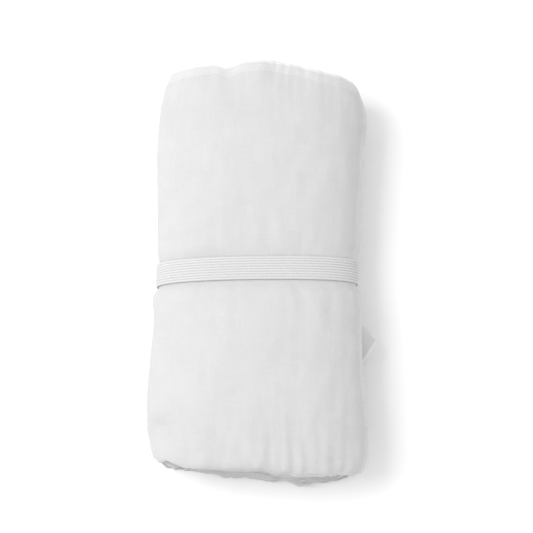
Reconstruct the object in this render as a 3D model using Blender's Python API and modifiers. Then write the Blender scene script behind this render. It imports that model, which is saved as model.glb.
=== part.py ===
"""A muslin swaddle blanket, folded to a strip, rolled flat and held by an elastic band.

Metres, +Z up. The roll lies on its back: +Y runs along it, towards the end that shows the hem,
+X points to the side where the strip ends, and the origin is on the flat underside.

The square of cloth is folded back and forth across its width into a strip as wide as the roll is
long, and the strip is wound clockwise, seen from the -Y end. Its loose end comes over the crown and
stops in a crease low on the +X side, where one corner of the cloth sticks out.
"""

import math
from collections import namedtuple

import bmesh
import bpy
from mathutils import Vector

# The cloth and how it is folded.
CLOTH_SIDE = 1.19
STRIP_LAYERS = 5
LAYER_PITCH = 0.00102
TURN_PITCH = STRIP_LAYERS * LAYER_PITCH

# The wound section, seen along +Y.
CROWN_X = 0.0065
LEFT_SIDE_HEIGHT = 0.018
RIGHT_SIDE_HEIGHT = 0.023
UPPER_LEFT_POWERS = (0.86, 0.90)
UPPER_RIGHT_POWERS = (0.74, 0.80)
LOWER_POWERS = (0.62, 0.55)
FLAT_OVERSHOOT = 0.0022
CORE_SHARE = 0.585
SECTION_POINTS = 48

# The crease in which the strip ends.
CREASE_ANGLE = math.radians(8)
CREASE_RUN_OUT = 0.13

# The dished ends of the roll, from the rim inwards.
DISH_RINGS = ((0.80, 0.0025), (0.45, 0.0060))

# The elastic band.
BAND_CENTRE_Y = -0.0050
BAND_WIDTH = 0.014
BAND_THICKNESS = 0.0012
FITTING_GAP = 0.0003

# The lean of the waist and its band, in y for each metre of x, and how far from the band it fades.
WAIST_LEAN = 0.028
WAIST_LEAN_REACH = 0.030

# The corner of the cloth that sticks out of the crease.
CORNER_TIP = Vector((0.0683, -0.0440, 0.0225))
CORNER_ROOT = Vector((0.0445, -0.0440, 0.0262))
CORNER_HALF_ANGLE = math.radians(47)
CORNER_THICKNESS = 0.0014
CORNER_ROUNDING = 0.0012
CORNER_ROWS = 4

Station = namedtuple("Station", "y left right top base")

# The roll's outline from end to end: its sides, its crown and its underside at each station.
STATIONS = (
    Station(y=-0.1275, left=-0.0485, right=0.0475, top=0.0410, base=0.0070),
    Station(y=-0.1245, left=-0.0555, right=0.0550, top=0.0465, base=0.0035),
    Station(y=-0.1190, left=-0.0610, right=0.0595, top=0.0505, base=0.0010),
    Station(y=-0.1100, left=-0.0650, right=0.0633, top=0.0530, base=0.0000),
    Station(y=-0.0980, left=-0.0679, right=0.0641, top=0.0540, base=0.0000),
    Station(y=-0.0800, left=-0.0683, right=0.0627, top=0.0540, base=0.0000),
    Station(y=-0.0600, left=-0.0677, right=0.0611, top=0.0532, base=0.0000),
    Station(y=-0.0450, left=-0.0669, right=0.0603, top=0.0525, base=0.0000),
    Station(y=-0.0300, left=-0.0665, right=0.0597, top=0.0515, base=0.0000),
    Station(y=-0.0210, left=-0.0672, right=0.0589, top=0.0505, base=0.0000),
    Station(y=-0.0160, left=-0.0659, right=0.0577, top=0.0488, base=0.0006),
    Station(y=-0.0126, left=-0.0641, right=0.0567, top=0.0466, base=0.0017),
    Station(y=0.0036, left=-0.0641, right=0.0567, top=0.0466, base=0.0017),
    Station(y=0.0070, left=-0.0651, right=0.0575, top=0.0482, base=0.0006),
    Station(y=0.0140, left=-0.0659, right=0.0583, top=0.0500, base=0.0000),
    Station(y=0.0300, left=-0.0665, right=0.0587, top=0.0510, base=0.0000),
    Station(y=0.0500, left=-0.0673, right=0.0601, top=0.0525, base=0.0000),
    Station(y=0.0720, left=-0.0681, right=0.0629, top=0.0535, base=0.0000),
    Station(y=0.0950, left=-0.0673, right=0.0621, top=0.0535, base=0.0000),
    Station(y=0.1100, left=-0.0655, right=0.0590, top=0.0525, base=0.0000),
    Station(y=0.1190, left=-0.0625, right=0.0545, top=0.0500, base=0.0010),
    Station(y=0.1245, left=-0.0570, right=0.0485, top=0.0460, base=0.0035),
    Station(y=0.1275, left=-0.0495, right=0.0415, top=0.0410, base=0.0070),
)
WAIST = next(s for s in STATIONS if s.y > BAND_CENTRE_Y)

MUSLIN_WHITE = (0.86, 0.86, 0.85, 1.0)
BAND_WHITE = (0.88, 0.88, 0.88, 1.0)


def clear_scene():
    """Removes whatever the file holds, one object at a time."""
    for leftover in list(bpy.data.objects):
        bpy.data.objects.remove(leftover)


def signed_power(value, power):
    """value to the power, keeping its sign."""
    return math.copysign(abs(value) ** power, value)


def side_height(station, x):
    """Height of the section's middle line at x, which rises from the left side to the right."""
    share = (x - station.left) / (station.right - station.left)
    return station.base + LEFT_SIDE_HEIGHT + (RIGHT_SIDE_HEIGHT - LEFT_SIDE_HEIGHT) * share


def outline_point(station, angle):
    """(x, z) of the smooth outline at an angle counted from +X towards +Z, with a flat underside."""
    cosine, sine = math.cos(angle), math.sin(angle)
    side = station.right if cosine > 0 else station.left
    middle = side_height(station, side)
    if sine >= 0:
        across, up = UPPER_RIGHT_POWERS if cosine > 0 else UPPER_LEFT_POWERS
        x = CROWN_X + (side - CROWN_X) * abs(cosine) ** across
        return x, middle + (station.top - middle) * sine**up
    across, down = LOWER_POWERS
    x = CROWN_X + (side - CROWN_X) * abs(cosine) ** across
    z = middle + (middle - station.base + FLAT_OVERSHOOT) * signed_power(sine, down)
    return x, max(z, station.base)


def core_point(station, x):
    """(x, z) on the flat core of the roll that an outline point at x is wound around."""
    middle_x = (station.left + station.right) / 2
    core_x = middle_x + CORE_SHARE * (x - middle_x)
    return core_x, side_height(station, core_x)


def winding_share(angle):
    """How far out the last turn lies: 1, falling by one turn's thickness into the crease."""
    since_crease = ((CREASE_ANGLE - angle) % math.tau) / math.tau
    if since_crease >= CREASE_RUN_OUT:
        return 1.0
    rise = since_crease / CREASE_RUN_OUT
    depth = TURN_PITCH / ((WAIST.top - WAIST.base) / 2)
    return 1.0 - depth * (1 - rise * rise * (3 - 2 * rise))


def section_points(station, shrink=1.0, creased=True):
    """The closed wound section at a station, as (x, z) pairs anticlockwise from the crease."""
    points = []
    for i in range(SECTION_POINTS):
        # The first point stands just above the crease and the last one at its foot.
        angle = CREASE_ANGLE + math.tau * i / (SECTION_POINTS - 1) * (1 - 1 / (4 * SECTION_POINTS))
        x, z = outline_point(station, angle)
        core_x, core_z = core_point(station, x)
        reach = shrink * (winding_share(angle) if creased else 1.0)
        points.append((core_x + reach * (x - core_x), core_z + reach * (z - core_z)))
    return points


def leaning(x, y):
    """y once the waist leans, its left side towards -Y."""
    away = (y - BAND_CENTRE_Y) / WAIST_LEAN_REACH
    return y + WAIST_LEAN * x * math.exp(-away * away)


def widened(points, distance):
    """A closed section moved outwards by a distance, square to its own edges."""
    moved = []
    for i, (x, z) in enumerate(points):
        before, after = points[i - 1], points[(i + 1) % len(points)]
        along = Vector((after[0] - before[0], after[1] - before[1])).normalized()
        moved.append((x + along.y * distance, z - along.x * distance))
    return moved


def material(name, colour, roughness):
    """A Principled material of one colour."""
    made = bpy.data.materials.new(name)
    made.use_nodes = True
    shader = made.node_tree.nodes["Principled BSDF"]
    shader.inputs["Base Color"].default_value = colour
    shader.inputs["Roughness"].default_value = roughness
    shader.inputs["Metallic"].default_value = 0.0
    return made


def mesh_object(name, bm, collection):
    """Turns a bmesh into a named object with smooth faces."""
    bmesh.ops.recalc_face_normals(bm, faces=bm.faces[:])
    mesh = bpy.data.meshes.new(name)
    bm.to_mesh(mesh)
    bm.free()
    made = bpy.data.objects.new(name, mesh)
    collection.objects.link(made)
    mesh.shade_smooth()
    mesh.set_sharp_from_angle(angle=math.radians(50))
    return made


def bridge(bm, ring, following):
    """Quads between two rings of equally many vertices."""
    for i in range(len(ring)):
        j = (i + 1) % len(ring)
        bm.faces.new((ring[i], ring[j], following[j], following[i]))


def roll_rings():
    """(y, section) from the middle of one dished end to the middle of the other."""
    rings = [(s.y, section_points(s)) for s in STATIONS]
    for shrink, depth in DISH_RINGS:
        first, last = STATIONS[0], STATIONS[-1]
        rings.insert(0, (first.y + depth, section_points(first, shrink)))
        rings.append((last.y - depth, section_points(last, shrink)))
    return rings


def build_roll(collection):
    """The wound cloth as one solid, lofted through the stations, with dished ends."""
    bm = bmesh.new()
    rings = [[bm.verts.new((x, leaning(x, y), z)) for x, z in section] for y, section in roll_rings()]
    for ring, following in zip(rings, rings[1:]):
        bridge(bm, ring, following)
    for ring in (rings[0], rings[-1]):
        bm.faces.new(ring)
    return mesh_object("swaddle_blanket", bm, collection)


def build_corner(collection):
    """The loose corner, a square-cornered tip that droops from the crease."""
    bm = bmesh.new()
    reach = CORNER_TIP - CORNER_ROOT
    rows = []
    for i in range(CORNER_ROWS + 1):
        share = i / CORNER_ROWS
        droop = 0.25 * reach.z * math.sin(math.pi * share)
        centre = CORNER_ROOT + reach * share - Vector((0, 0, droop))
        half = (1 - share) * reach.x * math.tan(CORNER_HALF_ANGLE) + CORNER_ROUNDING
        rows.append([bm.verts.new(centre + Vector((0, side * half, 0))) for side in (-1, 0, 1)])
    for row, following in zip(rows, rows[1:]):
        for i in range(2):
            bm.faces.new((row[i], following[i], following[i + 1], row[i + 1]))
    corner = mesh_object("loose_corner_tool", bm, collection)
    solid = corner.modifiers.new("cloth", "SOLIDIFY")
    solid.thickness = CORNER_THICKNESS
    solid.offset = 0
    corner.hide_render = True
    corner.display_type = "WIRE"
    return corner


def join_corner(roll, corner):
    """Makes the corner one piece with the roll."""
    union = roll.modifiers.new("loose_corner", "BOOLEAN")
    union.operation = "UNION"
    union.solver = "EXACT"
    union.object = corner


def build_band(collection):
    """The elastic band, a flat ring stretched over the waist of the roll."""
    bm = bmesh.new()
    inner = widened(section_points(WAIST, creased=False), FITTING_GAP)
    ends = (BAND_CENTRE_Y - BAND_WIDTH / 2, BAND_CENTRE_Y + BAND_WIDTH / 2)
    rings = [[bm.verts.new((x, leaning(x, y), z)) for x, z in inner] for y in ends]
    bridge(bm, *rings)
    band = mesh_object("elastic_band", bm, collection)
    solid = band.modifiers.new("elastic", "SOLIDIFY")
    solid.thickness = BAND_THICKNESS
    solid.offset = 1
    solid.use_even_offset = True
    return band


def main():
    """Builds the swaddle and its band."""
    clear_scene()
    parts = bpy.data.collections.new("swaddle")
    tools = bpy.data.collections.new("joining_shapes")
    for collection in (parts, tools):
        bpy.context.scene.collection.children.link(collection)
    roll = build_roll(parts)
    join_corner(roll, build_corner(tools))
    band = build_band(parts)
    roll.data.materials.append(material("muslin", MUSLIN_WHITE, 0.9))
    band.data.materials.append(material("band_elastic", BAND_WHITE, 0.8))


main()
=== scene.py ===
"""A muslin swaddle blanket, folded to a strip, rolled flat and held by a ribbed elastic.

The blanket is one open sheet. It is folded back and forth across its width into a strip of five
layers, and the strip is wound from the middle of the roll outwards, clockwise as seen from the foot
end (-Y). Its hems are turned under all round. Lengths are in metres.
"""

import logging
import math
from dataclasses import dataclass, field, fields
from enum import Enum
from typing import Any

import bpy
import numpy as np
from mathutils import Euler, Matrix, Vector


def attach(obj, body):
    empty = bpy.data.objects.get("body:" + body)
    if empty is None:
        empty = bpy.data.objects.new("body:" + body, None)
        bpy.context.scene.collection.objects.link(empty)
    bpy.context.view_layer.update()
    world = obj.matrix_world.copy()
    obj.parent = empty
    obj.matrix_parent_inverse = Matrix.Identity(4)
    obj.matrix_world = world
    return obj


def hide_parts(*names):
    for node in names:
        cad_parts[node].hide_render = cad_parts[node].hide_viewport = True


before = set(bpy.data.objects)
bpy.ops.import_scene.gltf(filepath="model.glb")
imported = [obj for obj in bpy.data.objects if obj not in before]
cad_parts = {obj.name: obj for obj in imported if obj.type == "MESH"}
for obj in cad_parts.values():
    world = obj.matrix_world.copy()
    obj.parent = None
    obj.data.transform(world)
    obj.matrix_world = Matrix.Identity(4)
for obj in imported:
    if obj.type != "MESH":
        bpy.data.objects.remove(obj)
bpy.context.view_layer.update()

log = logging.getLogger("swaddle")

MM = 0.001
BODY = "root"
CLOTH_MAP = "cloth"
CLOTH_SIDE = 1.19
HEM_WIDTH = 7.5 * MM
BAND_WIDTH = 14 * MM
BAND_RIBS = 9
TEXTILE_SPECULAR = 0.25
DOWN_ROUGHNESS = 0.5
FOLD_TURNS = (0.75 * math.pi, 0.5 * math.pi, 0.25 * math.pi)

Numbers = np.ndarray


def ramp(low: float, high: float, value: Numbers) -> Numbers:
    """Rises smoothly from 0 at low to 1 at high, or falls where low is the larger."""
    share = np.clip((value - low) / (high - low), 0.0, 1.0)
    return share * share * (3 - 2 * share)


def swell(centre: float, width: float, value: Numbers) -> Numbers:
    """A smooth bump of height 1 at centre, falling away over width on both sides."""
    return np.exp(-(((value - centre) / width) ** 2))


class GradientNoise:
    """Smooth noise in space, from about -1 to 1, the same for the same seed."""

    cells = 256
    gain = 1.6

    def __init__(self, seed: int) -> None:
        """Draws the lattice's gradients.

        Args:
            seed: picks the noise.
        """
        draw = np.random.default_rng(seed)
        self.order = np.tile(draw.permutation(self.cells), 3)
        gradients = draw.normal(size=(self.cells, 3))
        self.gradients = gradients / np.linalg.norm(gradients, axis=1, keepdims=True)

    def at(self, x: Numbers, y: Numbers, z: Numbers) -> Numbers:
        """Reads the noise.

        Args:
            x, y, z: places counted in lattice cells, in arrays that broadcast together.

        Returns:
            One number for each place.
        """
        spots = np.stack(np.broadcast_arrays(x, y, z), axis=-1)
        cell = np.floor(spots).astype(int)
        inside = spots - cell
        blend = inside**3 * (inside * (inside * 6 - 15) + 10)
        total = np.zeros(spots.shape[:-1])
        for corner in np.ndindex(2, 2, 2):
            at = (cell + corner) % self.cells
            picked = self.order[self.order[self.order[at[..., 0]] + at[..., 1]] + at[..., 2]]
            reach = (self.gradients[picked] * (inside - corner)).sum(-1)
            share = np.where(np.array(corner) == 1, blend, 1 - blend).prod(-1)
            total += reach * share
        return self.gain * total


@dataclass(frozen=True)
class Station:
    """The roll's outline at one place along it: its sides, its crown and its underside."""

    y: float
    left: float
    right: float
    top: float
    base: float


@dataclass
class BundleForm:
    """The soft oblong form of the whole roll, before wrinkles.

    Around the roll, an angle is counted from +X towards +Z.
    """

    stations: tuple[Station, ...] = (
        Station(y=-0.1300, left=-0.0500, right=0.0520, top=0.0410, base=0.0060),
        Station(y=-0.1245, left=-0.0568, right=0.0590, top=0.0462, base=0.0028),
        Station(y=-0.1190, left=-0.0612, right=0.0622, top=0.0500, base=0.0010),
        Station(y=-0.1100, left=-0.0648, right=0.0640, top=0.0528, base=0.0002),
        Station(y=-0.0980, left=-0.0676, right=0.0641, top=0.0538, base=0.0000),
        Station(y=-0.0800, left=-0.0682, right=0.0626, top=0.0540, base=0.0000),
        Station(y=-0.0600, left=-0.0677, right=0.0610, top=0.0534, base=0.0000),
        Station(y=-0.0450, left=-0.0668, right=0.0608, top=0.0526, base=0.0000),
        Station(y=-0.0300, left=-0.0666, right=0.0608, top=0.0516, base=0.0000),
        Station(y=-0.0190, left=-0.0672, right=0.0602, top=0.0500, base=0.0002),
        Station(y=-0.0152, left=-0.0656, right=0.0574, top=0.0478, base=0.0011),
        Station(y=-0.0124, left=-0.0641, right=0.0567, top=0.0466, base=0.0017),
        Station(y=0.0024, left=-0.0641, right=0.0567, top=0.0466, base=0.0017),
        Station(y=0.0062, left=-0.0649, right=0.0574, top=0.0480, base=0.0009),
        Station(y=0.0120, left=-0.0656, right=0.0592, top=0.0496, base=0.0002),
        Station(y=0.0300, left=-0.0665, right=0.0594, top=0.0510, base=0.0000),
        Station(y=0.0500, left=-0.0673, right=0.0600, top=0.0525, base=0.0000),
        Station(y=0.0720, left=-0.0681, right=0.0610, top=0.0535, base=0.0000),
        Station(y=0.0950, left=-0.0674, right=0.0620, top=0.0535, base=0.0000),
        Station(y=0.1080, left=-0.0660, right=0.0588, top=0.0526, base=0.0002),
        Station(y=0.1180, left=-0.0632, right=0.0538, top=0.0500, base=0.0010),
        Station(y=0.1245, left=-0.0590, right=0.0510, top=0.0465, base=0.0028),
        Station(y=0.1300, left=-0.0520, right=0.0430, top=0.0410, base=0.0060),
    )
    crown_x: float = 6.5 * MM
    left_side_height: float = 18 * MM
    right_side_height: float = 23 * MM
    upper_left_powers: tuple[float, float] = (0.88, 0.93)
    upper_right_powers: tuple[float, float] = (0.82, 0.88)
    lower_powers: tuple[float, float] = (0.62, 0.55)
    flat_overshoot: float = 2.2 * MM
    flat_softness: float = 0.8 * MM
    core_share: float = 0.5525
    waist_y: float = -5.0 * MM
    waist_lean: float = 0.028
    lean_reach: float = 30 * MM

    def __post_init__(self) -> None:
        """Gathers the stations' columns and their slopes."""
        self.ys = np.array([s.y for s in self.stations])
        self.columns = {
            name: np.array([getattr(s, name) for s in self.stations])
            for name in ("left", "right", "top", "base")
        }
        self.slopes = {name: self.gentle_slopes(c) for name, c in self.columns.items()}

    def gentle_slopes(self, column: Numbers) -> Numbers:
        """Slopes at the stations that never make the curve between them overshoot.

        Args:
            column: one measure at each station.

        Returns:
            Its slope at each station.
        """
        steps = np.diff(column) / np.diff(self.ys)
        slopes = np.zeros_like(column)
        before, after = steps[:-1], steps[1:]
        same_way = before * after > 0
        total = np.where(same_way, before + after, 1.0)
        slopes[1:-1] = np.where(same_way, 2 * before * after / total, 0.0)
        slopes[0], slopes[-1] = steps[0], steps[-1]
        return slopes

    def measure(self, name: str, y: Numbers) -> Numbers:
        """One of the outline's measures, on a smooth curve through the stations.

        Args:
            name: which measure of a Station.
            y: places along the roll.

        Returns:
            The measure at each place.
        """
        y = np.clip(y, self.ys[0], self.ys[-1])
        i = np.clip(np.searchsorted(self.ys, y) - 1, 0, len(self.ys) - 2)
        span = self.ys[i + 1] - self.ys[i]
        t = (y - self.ys[i]) / span
        column, slopes = self.columns[name], self.slopes[name]
        bend = (1 - t) * slopes[i] * span - t * slopes[i + 1] * span
        step = column[i + 1] - column[i]
        return column[i] + t * step + t * (1 - t) * (bend - (1 - 2 * t) * step)

    def outline(self, y: Numbers, angle: Numbers) -> tuple[Numbers, Numbers]:
        """The outer surface before wrinkles.

        Args:
            y: places along the roll.
            angle: places around it.

        Returns:
            x and z of each place.
        """
        cosine, sine = np.cos(angle), np.sin(angle)
        rightward, upward = cosine > 0, sine >= 0
        base = self.measure("base", y)
        side = np.where(rightward, self.measure("right", y), self.measure("left", y))
        middle = base + np.where(rightward, self.right_side_height, self.left_side_height)
        upper = np.where(rightward, self.upper_right_powers[0], self.upper_left_powers[0])
        across = np.where(upward, upper, self.lower_powers[0])
        rise = np.where(rightward, self.upper_right_powers[1], self.upper_left_powers[1])
        x = self.crown_x + (side - self.crown_x) * np.abs(cosine) ** across
        above = middle + (self.measure("top", y) - middle) * np.abs(sine) ** rise
        depth = middle - base + self.flat_overshoot
        over_floor = middle - base - depth * np.abs(sine) ** self.lower_powers[1]
        softened = (over_floor + np.sqrt(over_floor**2 + self.flat_softness**2)) / 2
        return x, np.where(upward, above, base + softened)

    def leaning(self, x: Numbers, y: Numbers) -> Numbers:
        """y once the waist leans, its left side towards the foot, which fades away from it."""
        return y + self.waist_lean * x * swell(self.waist_y, self.lean_reach, y)

    def core(self, y: Numbers, x: Numbers) -> tuple[Numbers, Numbers]:
        """The flat middle of the roll, which each point of the outline is wound around.

        Args:
            y: places along the roll.
            x: the outline's x there.

        Returns:
            x and z of the middle's point under each place.
        """
        left, right = self.measure("left", y), self.measure("right", y)
        middle = (left + right) / 2
        core_x = middle + self.core_share * (x - middle)
        share = (core_x - left) / (right - left)
        rise = self.right_side_height - self.left_side_height
        return core_x, self.measure("base", y) + self.left_side_height + rise * share


@dataclass
class Winding:
    """How the strip winds inwards from its loose end, counted in turns back from that end."""

    form: BundleForm
    strip_length: float = CLOTH_SIDE
    layers: int = 5
    end_angle: float = math.radians(8)
    heart: float = 0.022
    steady_fall: float = 0.15
    jog_from: float = 0.88
    closing: float = 0.8
    closing_run: float = 14 * MM
    reference_y: float = 45 * MM
    samples: int = 9000
    rate_samples: int = 40
    turns_between: tuple[float, float] = (3.0, 8.0)
    halvings: int = 30

    def __post_init__(self) -> None:
        """Finds how many turns take up the strip, and tabulates its length."""
        low, high = self.turns_between
        for _ in range(self.halvings):
            self.turns = (low + high) / 2
            length = self.wound_length()
            low, high = (self.turns, high) if length < self.strip_length else (low, self.turns)

    def fallen(self, turns_back: Numbers) -> Numbers:
        """How deep the strip lies under the outer face.

        Args:
            turns_back: turns back from the loose end.

        Returns:
            The depth of each place, in thicknesses of one turn.
        """
        whole = np.floor(turns_back)
        part = turns_back - whole
        jog = (1 - self.steady_fall) * ramp(self.jog_from, 1.0, part)
        return np.where(turns_back < 0, 0.0, whole + self.steady_fall * part + jog)

    def reach(self, turns_back: Numbers, depth: Numbers) -> Numbers:
        """How far out a layer of the strip lies.

        Args:
            turns_back: turns back from the loose end.
            depth: the layer, counted inwards from 0 at the outermost.

        Returns:
            The share of the way from the flat core to the outline.
        """
        under = self.fallen(turns_back) + depth / self.layers
        inmost = self.fallen(np.array(self.turns)) + 1.0
        return 1.0 - (1.0 - self.heart) * under / inmost

    def spread(self, reach: Numbers, to_end: Numbers) -> Numbers:
        """Spreads the layers towards the core, as they lie close to the roll's ends.

        Args:
            reach: shares of the way from the core to the outline.
            to_end: distances from the nearer end of the roll.

        Returns:
            The shares once spread.
        """
        inmost = self.reach(np.array(self.turns), self.layers - 1.0)
        closed = 1 - (1 - reach) / (1 - inmost) * (1 - (1 - self.closing) * inmost)
        return reach + (closed - reach) * ramp(self.closing_run, 0.0, to_end)

    def angle(self, turns_back: Numbers) -> Numbers:
        """Angle around the roll."""
        return self.end_angle + math.tau * turns_back

    def wound_length(self) -> float:
        """Tabulates the outer layer's length and bend along the winding.

        Returns:
            The whole length.
        """
        self.table_turns = np.linspace(0.0, self.turns, self.samples)
        angle = self.angle(self.table_turns)
        y = np.full_like(angle, self.reference_y)
        x, z = self.form.outline(y, angle)
        core_x, core_z = self.form.core(y, x)
        reach = self.reach(self.table_turns, np.zeros_like(angle))
        path = np.stack([core_x + reach * (x - core_x), core_z + reach * (z - core_z)], axis=1)
        steps = np.diff(path, axis=0)
        lengths = np.linalg.norm(steps, axis=1)
        self.table_back = np.concatenate([[0.0], np.cumsum(lengths)])
        heading = np.unwrap(np.arctan2(steps[:, 1], steps[:, 0]))
        self.table_bend = np.concatenate([[0.0, 0.0], np.cumsum(np.abs(np.diff(heading)))])
        return float(self.table_back[-1])

    def turns_at(self, back: Numbers) -> Numbers:
        """Counts the turns to places along the strip.

        Args:
            back: distances back from the loose end.

        Returns:
            The turns back from it.
        """
        rate = self.table_turns[self.rate_samples] / self.table_back[self.rate_samples]
        inside = np.interp(back, self.table_back, self.table_turns)
        return np.where(back < 0, back * rate, inside)


@dataclass
class Lay:
    """Where points of the cloth lie in the folded strip, as arrays that broadcast together.

    under is how far a point is turned under on the cloth's wrong side, which faces
    (wrong_y, wrong_depth) across the folds.
    """

    back: Numbers
    y: Numbers
    depth: Numbers
    foot_pair: Numbers
    head_pair: Numbers
    wrong_y: Numbers
    wrong_depth: Numbers
    under: Numbers
    first_layer: Numbers


@dataclass(frozen=True)
class Wrinkle:
    """One size of wrinkle: its height in millimetres and its length along each axis.

    The drift moves on to other wrinkles of the same size.
    """

    height: float
    lengths: tuple[float, float, float]
    drift: float = 0.0


@dataclass(frozen=True)
class Ripple:
    """Small even folds that run in from one end of the roll, and grow from left to right."""

    height: float
    pitch: float
    fade: float
    grows: tuple[float, float]


@dataclass
class Relief:
    """The wrinkles, ripples and dents that the cloth has over the bundle's smooth form.

    Heights are in millimetres.
    """

    waist_y: float
    head_end: float = 127 * MM
    foot_end: float = -126.5 * MM
    calm_half_width: float = 7.8 * MM
    calm_edge: float = 5.0 * MM
    layers_to_fade: float = 7.0
    underside_share: float = 0.25
    upward: tuple[float, float] = (-0.25, 0.25)
    topside: tuple[float, float] = (0.25, 0.75)
    rightward: tuple[float, float] = (0.2, 0.8)
    skew: float = 1.7
    lumps: Wrinkle = Wrinkle(1.2, (60 * MM, 75 * MM, 60 * MM))
    folds: Wrinkle = Wrinkle(1.0, (20 * MM, 85 * MM, 20 * MM), drift=3.1)
    folds_on_left: float = 0.75
    folds_more_on_right: float = 0.35
    crinkles: tuple[Wrinkle, ...] = (
        Wrinkle(0.38, (8.5 * MM, 16 * MM, 8.5 * MM), drift=5.3),
        Wrinkle(0.28, (24 * MM, 8.5 * MM, 24 * MM), drift=6.1),
        Wrinkle(0.13, (3.6 * MM, 5 * MM, 3.6 * MM), drift=7.7),
    )
    gathers: Wrinkle = Wrinkle(1.0, (7.5 * MM, 80 * MM, 7.5 * MM), drift=9.2)
    gather_fade: float = 24 * MM
    uneven: Wrinkle = Wrinkle(0.8, (17 * MM, 30 * MM, 17 * MM), drift=19.0)
    even_share: float = 0.65
    wander: Wrinkle = Wrinkle(1.0, (34 * MM, 45 * MM, 34 * MM), drift=11.0)
    head_ripple: Ripple = Ripple(0.95, pitch=5.8 * MM, fade=15 * MM, grows=(-12 * MM, 14 * MM))
    foot_ripple: Ripple = Ripple(0.45, pitch=7.1 * MM, fade=24 * MM, grows=(-40 * MM, 12 * MM))
    softenings: tuple[Wrinkle, ...] = (
        Wrinkle(0.85, (9 * MM, 60 * MM, 9 * MM), drift=13.0),
        Wrinkle(0.60, (4.5 * MM, 35 * MM, 4.5 * MM), drift=29.0),
    )
    head_softening_fade: float = 22 * MM
    foot_softening_fade: float = 24 * MM
    rim: Wrinkle = Wrinkle(0.75, (5 * MM, 6 * MM, 5 * MM), drift=23.0)
    rim_fade: float = 6 * MM
    dimple_height: float = -2.2
    dimple_x: tuple[float, float] = (-23.5 * MM, 4.5 * MM)
    dimple_run: tuple[float, float] = (30 * MM, 0.0)
    puff_height: float = 1.2
    puff_x: tuple[float, float] = (-6 * MM, 10 * MM)
    puff_run: tuple[float, float] = (40 * MM, 4 * MM)
    noise: GradientNoise = field(default_factory=lambda: GradientNoise(47))

    def wave(self, place: tuple[Numbers, Numbers, Numbers], wrinkle: Wrinkle) -> Numbers:
        """The height of one size of wrinkle at places on the outline."""
        x, y, z = (along / length for along, length in zip(place, wrinkle.lengths))
        return wrinkle.height * self.noise.at(x + wrinkle.drift, y + self.skew * wrinkle.drift, z)

    def ripples(self, x: Numbers, ripple: Ripple, wander: Numbers, to_end: Numbers) -> Numbers:
        """The height of one end's ripples at x, shifted by wander, a distance to_end from it."""
        row = ripple.height * np.sin(math.tau * (x / ripple.pitch + wander))
        return row * np.exp(-to_end / ripple.fade) * ramp(*ripple.grows, x)

    def lift(self, place: tuple[Numbers, Numbers, Numbers], angle: Numbers,
             under_layers: Numbers) -> Numbers:
        """How far the cloth stands out from the smooth form.

        Args:
            place: x, y and z on the outline.
            angle: angle around the roll.
            under_layers: how many layers of cloth lie over the point.

        Returns:
            The lift at each place.
        """
        x, y, _ = place
        off_waist = np.abs(y - self.waist_y)
        upward, topside = ramp(*self.upward, np.sin(angle)), ramp(*self.topside, np.sin(angle))
        rightward = ramp(*self.rightward, np.cos(angle))
        to_head, to_foot = np.maximum(self.head_end - y, 0.0), np.maximum(y - self.foot_end, 0.0)

        creased = self.wave(place, self.lumps)
        creased += (self.folds_on_left + self.folds_more_on_right * rightward) * self.wave(place, self.folds)
        creased += self.wave(place, self.gathers) * np.exp(-off_waist / self.gather_fade)
        creased += sum(self.wave(place, crinkle) for crinkle in self.crinkles)

        wander = self.wave(place, self.wander)
        rippled = self.ripples(x, self.head_ripple, wander, to_head)
        rippled += self.ripples(x, self.foot_ripple, wander, to_foot)
        rippled *= (self.even_share + self.wave(place, self.uneven)) * topside

        near_ends = np.exp(-to_head / self.head_softening_fade) + np.exp(-to_foot / self.foot_softening_fade)
        softened = sum(self.wave(place, softening) for softening in self.softenings) * near_ends
        softened += self.wave(place, self.rim) * np.exp(-to_foot / self.rim_fade)

        dimple = self.dimple_height * swell(*self.dimple_x, x) * ramp(*self.dimple_run, to_head)
        puff = self.puff_height * swell(*self.puff_x, x) * ramp(*self.puff_run, to_head)
        raised = creased + rippled + softened + (dimple + puff) * topside
        calm = ramp(self.calm_half_width, self.calm_half_width + self.calm_edge, off_waist)
        fade = np.exp(-under_layers / self.layers_to_fade)
        grip = self.underside_share + (1 - self.underside_share) * upward
        return MM * calm * fade * grip * raised


class End(Enum):
    """The two ends of the roll."""

    FOOT = "foot"
    HEAD = "head"


@dataclass(frozen=True)
class EndPoint:
    """How far the roll's two ends stand back at one place across it, in millimetres."""

    x: float
    foot_top: float
    foot_base: float
    head_top: float
    head_base: float


@dataclass(frozen=True)
class EndFolds:
    """How much further each turn and each fold inwards stands back, in millimetres."""

    each_turn: float
    each_fold: float
    drift: float


@dataclass(frozen=True)
class Crumple:
    """One size of crumple in the foot's edge: its height in millimetres and its lengths."""

    height: float
    across: float
    upright: float
    drift: float


@dataclass(frozen=True)
class Lobe:
    """A bulge below the crease: its height in millimetres, and its place and reach along y."""

    height: float
    y: float
    reach: float


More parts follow.
